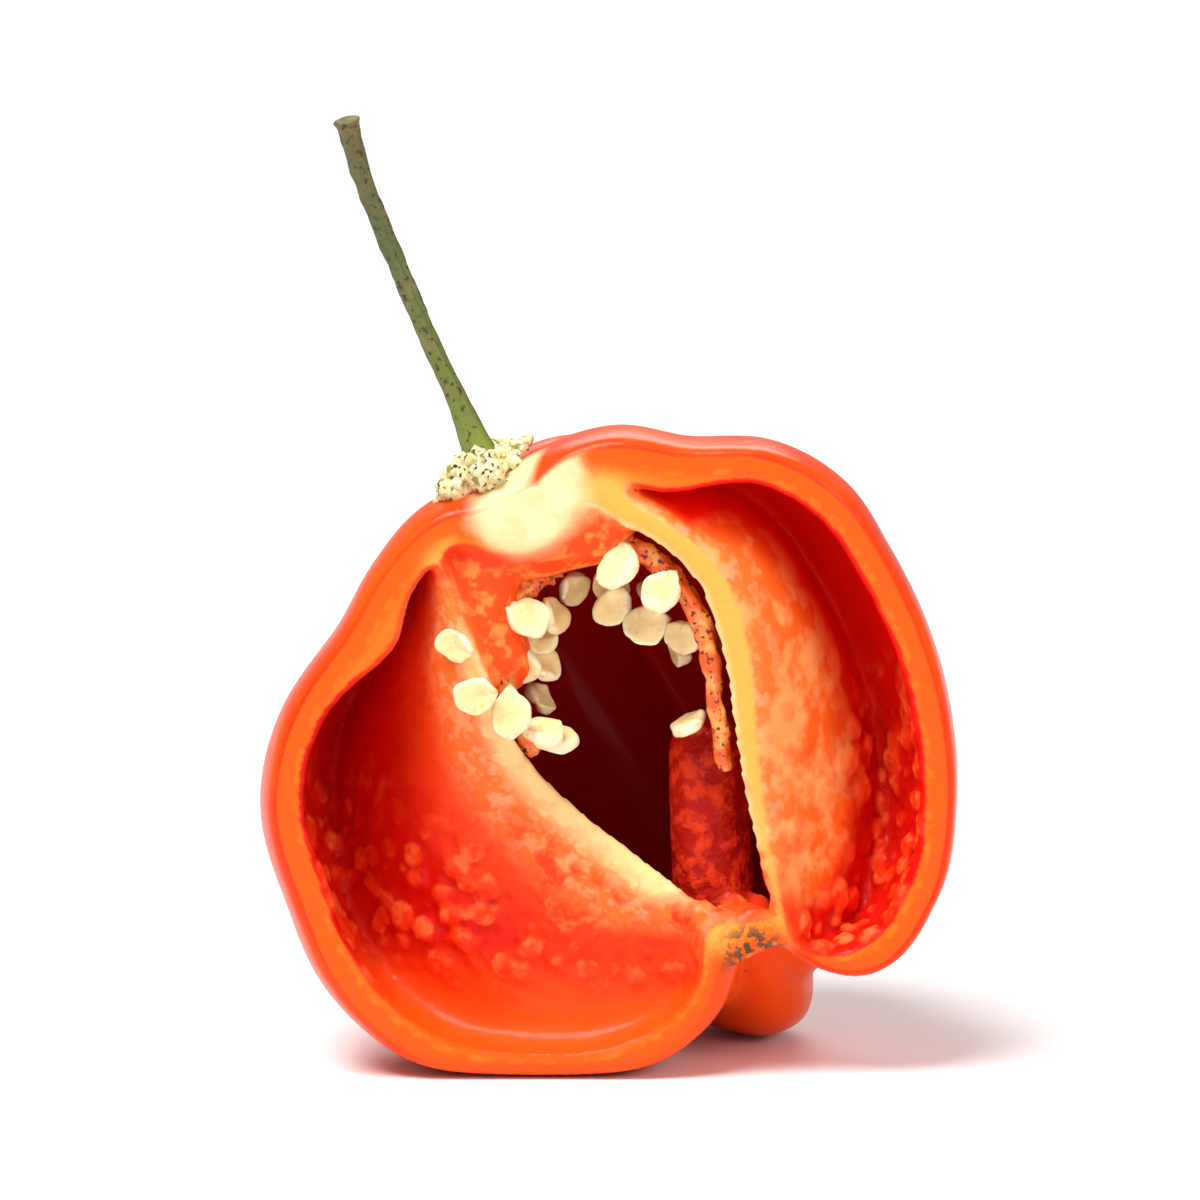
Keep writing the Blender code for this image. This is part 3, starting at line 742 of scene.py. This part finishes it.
def seed_material():
    """Fresh chilli seed: cream, slightly see-through, with a paler rim and a tan tip where it was attached."""
    material, tree, shader = new_material(
        "fresh_chilli_seed", subsurface_weight=0.3, subsurface_scale=0.0007, subsurface_radius=(1.0, 0.7, 0.4), coat_weight=0.15
    )
    place = node(tree, "ShaderNodeTexCoord").outputs["Object"]
    grain = node(tree, "ShaderNodeTexNoise", {"Vector": place, "Scale": 1 / (0.4 * MM), "Detail": 3.0}).outputs["Fac"]
    out = node(tree, "ShaderNodeAttribute", attribute_name="out").outputs["Fac"]
    tint = node(tree, "ShaderNodeAttribute", attribute_name="tint").outputs["Fac"]
    tip = node(tree, "ShaderNodeAttribute", attribute_name="tip").outputs["Fac"]
    base = colour("#f9dfa0")
    for source, start, end, over in (
        (tint, 0.5, 1.0, "#f0cc88"),
        (out, 0.6, 0.1, "#f1d090"),
        (out, 0.8, 0.97, "#fdf0cc"),
        (grain, 0.56, 0.7, "#e6bf80"),
        (tip, 0.3, 0.9, "#d8924c"),
    ):
        through = node(tree, "ShaderNodeMapRange", {"Value": source, "From Min": start, "From Max": end, "To Max": 0.8}).outputs[0]
        base = node(tree, "ShaderNodeMix", {0: through, 6: base, 7: colour(over)}, data_type="RGBA").outputs[2]
    tree.links.new(base, shader.inputs["Base Color"])
    rough = node(tree, "ShaderNodeMapRange", {"Value": grain, "To Min": 0.32, "To Max": 0.55}).outputs[0]
    tree.links.new(rough, shader.inputs["Roughness"])
    bump = node(tree, "ShaderNodeBump", {"Height": grain, "Strength": 0.5, "Distance": 0.05 * MM}).outputs["Normal"]
    tree.links.new(bump, shader.inputs["Normal"])
    return material


def seed_shape():
    """One flat round seed with a thick rim, dished faces, and the small beak where it was attached, at +X."""
    rings = ((0.0, 0.36), (0.35, 0.36), (0.62, 0.38), (0.8, 0.42), (0.92, 0.37), (0.98, 0.22))
    sides = 28
    bm = bmesh.new()
    layer = bm.verts.layers.float.new("out")
    tip_layer = bm.verts.layers.float.new("tip")
    loops = []
    for share, half in [(s, h) for s, h in rings[1:]] + [(1.0, 0.0)] + [(s, -h) for s, h in rings[:0:-1]]:
        loop = []
        for j in range(sides):
            turn = 2 * math.pi * j / sides
            beak = math.exp(-((math.remainder(turn, 2 * math.pi) / 0.22) ** 2))
            round_off = 1 + 0.05 * math.cos(turn - 0.8) + 0.05 * math.cos(2 * turn + 0.5) + 0.03 * math.cos(3 * turn - 1)
            reach = share * SEED_RADIUS * (round_off + 0.24 * beak * share)
            vert = bm.verts.new((reach * math.cos(turn), reach * math.sin(turn) * 0.93, half * (1 - 0.5 * beak * share)))
            vert[layer] = share
            vert[tip_layer] = beak * share**3
            loop.append(vert)
        loops.append(loop)
    poles = [bm.verts.new((0, 0, rings[0][1])), bm.verts.new((0, 0, -rings[0][1]))]
    for first, second in zip(loops, loops[1:]):
        for j in range(sides):
            bm.faces.new((first[j], second[j], second[(j + 1) % sides], first[(j + 1) % sides]))
    for j in range(sides):
        bm.faces.new((poles[0], loops[0][j], loops[0][(j + 1) % sides]))
        bm.faces.new((poles[1], loops[-1][(j + 1) % sides], loops[-1][j]))
    for vert in bm.verts:
        vert.co.z += 0.14 * vert.co.x * vert.co.y + 0.07 * vert.co.x**2
        vert.co *= MM
    bmesh.ops.recalc_face_normals(bm, faces=bm.faces)
    mesh = bpy.data.meshes.new("seed")
    bm.to_mesh(mesh)
    bm.free()
    mesh.shade_smooth()
    seed = bpy.data.objects.new("one_seed", mesh)
    bpy.context.scene.collection.objects.link(seed)
    return seed


def set_inputs(modifier, tree, values):
    """Sets a node group's named inputs on a modifier, by their identifiers."""
    for item in tree.interface.items_tree:
        if item.item_type == "SOCKET" and item.in_out == "INPUT" and item.name in values:
            modifier[item.identifier] = values[item.name]


def grown(piece_name, carrier, tree, values):
    """Runs a node tree on a carrier, and gives the result as a plain mesh piece in the carrier's place."""
    modifier = carrier.modifiers.new("growth", "NODES")
    modifier.node_group = tree
    set_inputs(modifier, tree, values)
    bpy.context.view_layer.update()
    graph = bpy.context.evaluated_depsgraph_get()
    mesh = bpy.data.meshes.new_from_object(carrier.evaluated_get(graph))
    bpy.data.objects.remove(carrier)
    mesh.name = piece_name
    piece = bpy.data.objects.new(piece_name, mesh)
    bpy.context.scene.collection.objects.link(piece)
    return piece


def placing_tree(name, extra=()):
    """A node tree that puts a shape on every point of its carrier, turned as the point says."""
    tree = bpy.data.node_groups.new(name, "GeometryNodeTree")
    face = tree.interface
    face.new_socket("Geometry", in_out="INPUT", socket_type="NodeSocketGeometry")
    face.new_socket("Shape", in_out="INPUT", socket_type="NodeSocketObject")
    for socket_name, default in extra:
        face.new_socket(socket_name, in_out="INPUT", socket_type="NodeSocketFloat").default_value = default
    face.new_socket("Draw", in_out="INPUT", socket_type="NodeSocketInt").default_value = 1
    face.new_socket("Geometry", in_out="OUTPUT", socket_type="NodeSocketGeometry")
    return tree, node(tree, "NodeGroupInput").outputs


def make_seeds():
    """The seeds, each turned so that its beak points at the arm that carries it."""
    material = seed_material()
    shape = seed_shape()
    arms = np.vstack([arm_line(LEFT_ARM, 120), arm_line(RIGHT_ARM, 120)])
    lean = Matrix.Rotation(-LEAN_LEFT, 3, "Y")
    mesh = bpy.data.meshes.new("seed_places")
    places, turns = [], []
    for middle, looks, _ in SEEDS:
        middle = np.array(middle)
        nearest = arms[np.argmin(np.linalg.norm(arms - middle, axis=1))]
        flat = Vector(looks).normalized()
        beak = Vector(nearest - middle)
        beak = (beak - flat * beak.dot(flat)).normalized()
        turn = Matrix((beak, flat.cross(beak), flat)).transposed()
        turns.append((lean @ turn).to_euler())
        places.append(standing(middle[None])[0] * MM)
    mesh.from_pydata([tuple(p) for p in places], [], [])
    mesh.attributes.new("turn", "FLOAT_VECTOR", "POINT").data.foreach_set("vector", np.array(turns).ravel())
    mesh.attributes.new("size", "FLOAT", "POINT").data.foreach_set("value", [s[2] for s in SEEDS])
    carrier = bpy.data.objects.new("seed_places", mesh)
    bpy.context.scene.collection.objects.link(carrier)

    tree, given = placing_tree("seeds_on_arms", (("Dents", 700.0), ("Dent depth", 0.0007)))
    turn = node(tree, "GeometryNodeInputNamedAttribute", {"Name": "turn"}, data_type="FLOAT_VECTOR").outputs[0]
    size = node(tree, "GeometryNodeInputNamedAttribute", {"Name": "size"}, data_type="FLOAT").outputs[0]
    tint = node(tree, "FunctionNodeRandomValue", {"Seed": given["Draw"]}, data_type="FLOAT").outputs[1]
    tinted = node(
        tree,
        "GeometryNodeStoreNamedAttribute",
        {"Geometry": given["Geometry"], "Name": "tint", "Value": tint},
        data_type="FLOAT",
        domain="POINT",
    ).outputs[0]
    shape_in = node(tree, "GeometryNodeObjectInfo", {"Object": given["Shape"]}).outputs["Geometry"]
    rotation = node(tree, "FunctionNodeEulerToRotation", {0: turn}).outputs[0]
    points = node(tree, "GeometryNodeMeshToPoints", {"Mesh": tinted}).outputs[0]
    placed = node(
        tree, "GeometryNodeInstanceOnPoints", {"Points": points, "Instance": shape_in, "Rotation": rotation, "Scale": size}
    ).outputs[0]
    real = node(tree, "GeometryNodeRealizeInstances", {"Geometry": placed}).outputs[0]
    where = node(tree, "GeometryNodeInputPosition").outputs[0]
    dents = node(tree, "ShaderNodeTexNoise", {"Vector": where, "Scale": given["Dents"], "Detail": 1.5}).outputs["Color"]
    centred = node(tree, "ShaderNodeVectorMath", {0: dents, 1: (-0.5, -0.5, -0.5)}, operation="ADD").outputs[0]
    depth = node(tree, "ShaderNodeVectorMath", {0: centred, "Scale": given["Dent depth"]}, operation="SCALE").outputs[0]
    dented = node(tree, "GeometryNodeSetPosition", {"Geometry": real, "Offset": depth}).outputs[0]
    done = node(tree, "GeometryNodeSetMaterial", {"Geometry": dented, "Material": material}).outputs[0]
    node(tree, "NodeGroupOutput", {0: done})
    dent_sizes = {"Dents": 1 / (1.5 * MM), "Dent depth": 0.75 * MM}
    seeds = grown("seeds", carrier, tree, {"Shape": shape, "Draw": 5, **dent_sizes})
    bpy.data.objects.remove(shape)
    return declare(seeds, "placenta_and_seeds")


def stalk_material():
    """Drying chilli stalk: matt grey-green with brown flecks and ribs, still yellow-green at its foot."""
    material, tree, shader = new_material("drying_stalk", coat_weight=0.05)
    place = node(tree, "ShaderNodeTexCoord").outputs["Object"]
    up = node(tree, "ShaderNodeAttribute", attribute_name="up_stalk").outputs["Fac"]
    patch = node(tree, "ShaderNodeTexNoise", {"Vector": place, "Scale": 1 / (1.5 * MM), "Detail": 4.0}).outputs["Fac"]
    fleck = node(tree, "ShaderNodeTexNoise", {"Vector": place, "Scale": 1 / (0.35 * MM), "Detail": 3.0}).outputs["Fac"]
    base = colour("#8a9620")
    for source, start, end, over in (
        (up, 0.04, 0.16, "#5c6626"),
        (up, 0.2, 0.6, "#4e5228"),
        (up, 0.7, 1.0, "#6a5a2e"),
        (patch, 0.5, 0.66, "#75683a"),
        (fleck, 0.57, 0.64, "#30220f"),
    ):
        through = node(tree, "ShaderNodeMapRange", {"Value": source, "From Min": start, "From Max": end, "To Max": 0.85}).outputs[0]
        base = node(tree, "ShaderNodeMix", {0: through, 6: base, 7: colour(over)}, data_type="RGBA").outputs[2]
    tree.links.new(base, shader.inputs["Base Color"])
    rough = node(tree, "ShaderNodeMapRange", {"Value": patch, "To Min": 0.5, "To Max": 0.8}).outputs[0]
    tree.links.new(rough, shader.inputs["Roughness"])
    bump = node(tree, "ShaderNodeBump", {"Height": fleck, "Strength": 0.7, "Distance": 0.06 * MM}).outputs["Normal"]
    tree.links.new(bump, shader.inputs["Normal"])
    return material


def make_stalk():
    """The thin ribbed stalk, with the knob where it came off the plant."""
    rings, sides = 240, 36
    share = np.linspace(0, 1, rings)
    line = np.stack([along([p[k] for p in STALK_LINE], share) for k in range(3)], axis=1) + MIDDLE
    radii = STALK_RADIUS * (1.0 + (STALK_FLARE / STALK_RADIUS - 1) * np.exp(-((share / 0.13) ** 2)) + 0.35 * share**8)
    knob = np.exp(-(((share - 0.975) / 0.018) ** 2))
    radii = radii * 0.93 + 0.12 * knob
    radii[-4:] *= (0.96, 0.86, 0.68, 0.42)
    turn = np.linspace(0, 2 * math.pi, sides, endpoint=False)
    twist = turn[None] + 1.6 * share[:, None]
    ribs = 0.055 * np.cos(5 * twist) + 0.02 * np.cos(11 * twist + 1)
    sample = np.stack([np.cos(turn)[None] * 0.8 + 0 * share[:, None], np.sin(turn)[None] * 0.8 + 0 * share[:, None], share[:, None] * 25 + 0 * turn[None]], -1).reshape(-1, 3)
    relief = ribs + (0.05 * lumps(sample, 1.0, 31) + 0.03 * lumps(sample, 0.4, 32)).reshape(rings, sides)
    relief *= np.clip((1 - share) / 0.03, 0.2, 1)[:, None]
    corners, faces = tube(line, radii, sides, relief)
    piece = new_piece("stalk", corners, faces, stalk_material(), "stalk_and_calyx")
    faces_out(piece)
    height = np.concatenate([np.repeat(share, sides), [0.0, 1.0]]).astype(np.float32)
    piece.data.attributes.new("up_stalk", "FLOAT", "POINT").data.foreach_set("value", height)
    return piece


def calyx_material():
    """Torn, corky calyx: dry cream-white tissue with brown specks and a green tinge near the stalk."""
    material, tree, shader = new_material("corky_calyx", subsurface_weight=0.15, subsurface_scale=0.0006)
    place = node(tree, "ShaderNodeTexCoord").outputs["Object"]
    patch = node(tree, "ShaderNodeTexNoise", {"Vector": place, "Scale": 1 / (1.1 * MM), "Detail": 3.0}).outputs["Fac"]
    grain = node(tree, "ShaderNodeTexNoise", {"Vector": place, "Scale": 1 / (0.3 * MM), "Detail": 3.0}).outputs["Fac"]
    base = colour("#efe0b4")
    for source, start, end, over in ((patch, 0.5, 0.62, "#cfc07c"), (patch, 0.42, 0.34, "#8f8a3c"), (grain, 0.58, 0.64, "#33240f")):
        through = node(tree, "ShaderNodeMapRange", {"Value": source, "From Min": start, "From Max": end}).outputs[0]
        base = node(tree, "ShaderNodeMix", {0: through, 6: base, 7: colour(over)}, data_type="RGBA").outputs[2]
    tree.links.new(base, shader.inputs["Base Color"])
    rough = node(tree, "ShaderNodeMapRange", {"Value": grain, "To Min": 0.55, "To Max": 0.9}).outputs[0]
    tree.links.new(rough, shader.inputs["Roughness"])
    bump = node(tree, "ShaderNodeBump", {"Height": grain, "Strength": 0.8, "Distance": 0.1 * MM}).outputs["Normal"]
    tree.links.new(bump, shader.inputs["Normal"])
    return material


def make_calyx():
    """The ragged cup round the stalk's foot, covered in torn crumbs."""
    material = calyx_material()
    around, rings = 72, 27
    turn = np.linspace(0, 2 * math.pi, around, endpoint=False)[None]
    tilt = np.linspace(0, math.pi, rings + 2)[1:-1, None]
    shape = np.stack([np.sin(tilt) * np.cos(turn), np.sin(tilt) * np.sin(turn), np.cos(tilt) + 0 * turn], -1).reshape(-1, 3)
    shape = np.vstack([shape, (0, 0, 1), (0, 0, -1)])
    top, foot, last = rings * around, rings * around + 1, (rings - 1) * around
    faces = []
    for j in range(around):
        after = (j + 1) % around
        faces.append((top, j, after))
        faces += [(i + j, i + around + j, i + around + after, i + after) for i in range(0, last, around)]
        faces.append((foot, last + after, last + j))
    azimuth = np.arctan2(shape[:, 1], shape[:, 0])
    ragged = 1 + 0.14 * np.cos(5 * azimuth + 0.6) + 0.07 * np.cos(11 * azimuth) + 0.08 * lumps(shape * 3, 0.8, 41)
    flat = shape[:, 0] ** 2 + shape[:, 1] ** 2
    places = np.stack([shape[:, 0] * ragged * CALYX_RADIUS, shape[:, 1] * ragged * CALYX_RADIUS, shape[:, 2] * 1.35 + 0.3 * flat + 17.5], 1)
    places += shape * (0.45 * lumps(places, 0.95, 42) + 0.2 * lumps(places, 0.45, 43))[:, None]
    mesh = bpy.data.meshes.new("calyx_cup")
    mesh.from_pydata((standing(places) * MM).tolist(), [], faces)
    carrier = bpy.data.objects.new("calyx_cup", mesh)
    bpy.context.scene.collection.objects.link(carrier)

    crumb = bmesh.new()
    bmesh.ops.create_icosphere(crumb, subdivisions=2, radius=1.0)
    spots = np.array([v.co for v in crumb.verts])
    for vert, height in zip(crumb.verts, lumps(spots * 1.7 + 3, 0.9, 44)):
        vert.co = vert.co * (1 + 0.45 * height) * MM
    crumb_mesh = bpy.data.meshes.new("crumb")
    crumb.to_mesh(crumb_mesh)
    crumb.free()
    crumb_mesh.shade_smooth()
    one_crumb = bpy.data.objects.new("one_crumb", crumb_mesh)
    bpy.context.scene.collection.objects.link(one_crumb)

    sizes = (("Spacing", 0.0005), ("Smallest", 0.12), ("Largest", 0.42))
    tree, given = placing_tree("crumbs_on_calyx", sizes)
    spread = node(
        tree,
        "GeometryNodeDistributePointsOnFaces",
        {"Mesh": given["Geometry"], "Distance Min": given["Spacing"], "Density Max": 4e6, "Seed": given["Draw"]},
        distribute_method="POISSON",
    )
    size = node(
        tree, "FunctionNodeRandomValue", {2: given["Smallest"], 3: given["Largest"], "Seed": given["Draw"]}, data_type="FLOAT"
    ).outputs[1]
    turn = node(
        tree, "FunctionNodeRandomValue", {1: (6.28, 6.28, 6.28), "Seed": given["Draw"]}, data_type="FLOAT_VECTOR"
    ).outputs[0]
    rotation = node(tree, "FunctionNodeEulerToRotation", {0: turn}).outputs[0]
    shape_in = node(tree, "GeometryNodeObjectInfo", {"Object": given["Shape"]}).outputs["Geometry"]
    placed = node(
        tree,
        "GeometryNodeInstanceOnPoints",
        {"Points": spread.outputs["Points"], "Instance": shape_in, "Rotation": rotation, "Scale": size},
    ).outputs[0]
    real = node(tree, "GeometryNodeRealizeInstances", {"Geometry": placed}).outputs[0]
    joined = node(tree, "GeometryNodeJoinGeometry")
    tree.links.new(real, joined.inputs[0])
    tree.links.new(given["Geometry"], joined.inputs[0])
    smooth = node(tree, "GeometryNodeSetShadeSmooth", {"Geometry": joined.outputs[0]}).outputs[0]
    done = node(tree, "GeometryNodeSetMaterial", {"Geometry": smooth, "Material": material}).outputs[0]
    node(tree, "NodeGroupOutput", {0: done})
    calyx = grown("calyx", carrier, tree, {"Shape": one_crumb, "Draw": 9, "Spacing": 0.0008, "Smallest": 0.12, "Largest": 0.62})
    bpy.data.objects.remove(one_crumb)
    return declare(calyx, "stalk_and_calyx")


def make_floor():
    """The plain pale surface that the half stands on."""
    material, tree, shader = new_material("pale_table", roughness=0.6)
    shader.inputs["Base Color"].default_value = colour("#f4f4f4")
    bm = bmesh.new()
    bmesh.ops.create_grid(bm, x_segments=1, y_segments=1, size=4.0)
    mesh = bpy.data.meshes.new("floor")
    bm.to_mesh(mesh)
    bm.free()
    mesh.materials.append(material)
    floor = bpy.data.objects.new("floor", mesh)
    bpy.context.scene.collection.objects.link(floor)


def make_light(name, place, aim, size, watts):
    """A soft square light that looks at a point."""
    light = bpy.data.lights.new(name, "AREA")
    light.shape = "SQUARE"
    light.size = size
    light.energy = watts
    lamp = bpy.data.objects.new(name, light)
    lamp.location = place
    lamp.rotation_euler = (Vector(aim) - Vector(place)).to_track_quat("-Z", "Y").to_euler()
    bpy.context.scene.collection.objects.link(lamp)


def make_camera():
    """The camera, level with the photograph's: 9 degrees above the table and square to the cut."""
    aim = Vector(VIEW_AIM) * MM
    back = Vector((0, -math.cos(VIEW_ELEVATION), math.sin(VIEW_ELEVATION)))
    lens = bpy.data.cameras.new("camera")
    lens.sensor_width = 36.0
    lens.lens = 36.0 * VIEW_DISTANCE / VIEW_HEIGHT
    lens.clip_start, lens.clip_end = 0.05, 20.0
    camera = bpy.data.objects.new("camera", lens)
    camera.location = aim + back * VIEW_DISTANCE * MM
    camera.rotation_euler = (-back).to_track_quat("-Z", "Y").to_euler()
    bpy.context.scene.collection.objects.link(camera)
    bpy.context.scene.camera = camera


def make_surroundings():
    """Plain studio light: a large soft light overhead, weaker ones from the front right and over the
    floor at the back, and a pale room."""
    bpy.context.scene.view_settings.view_transform = "Standard"
    world = bpy.data.worlds.new("room")
    bpy.context.scene.world = world
    world.use_nodes = True
    world.node_tree.nodes["Background"].inputs["Color"].default_value = (1.0, 1.0, 1.0, 1.0)
    world.node_tree.nodes["Background"].inputs["Strength"].default_value = 0.25
    make_light("overhead", (-0.35, -0.45, 1.1), (0, -0.005, 0.02), 0.6, 20.0)
    make_light("front_right", (0.9, -0.9, 0.7), (0, -0.005, 0.02), 0.5, 6.0)
    make_light("over_the_back", (0.0, 2.4, 1.5), (0, 2.2, 0), 1.6, 34.0)
    make_floor()
    make_camera()


make_surroundings()
make_flesh()
make_placenta()
make_seeds()
make_stalk()
make_calyx()
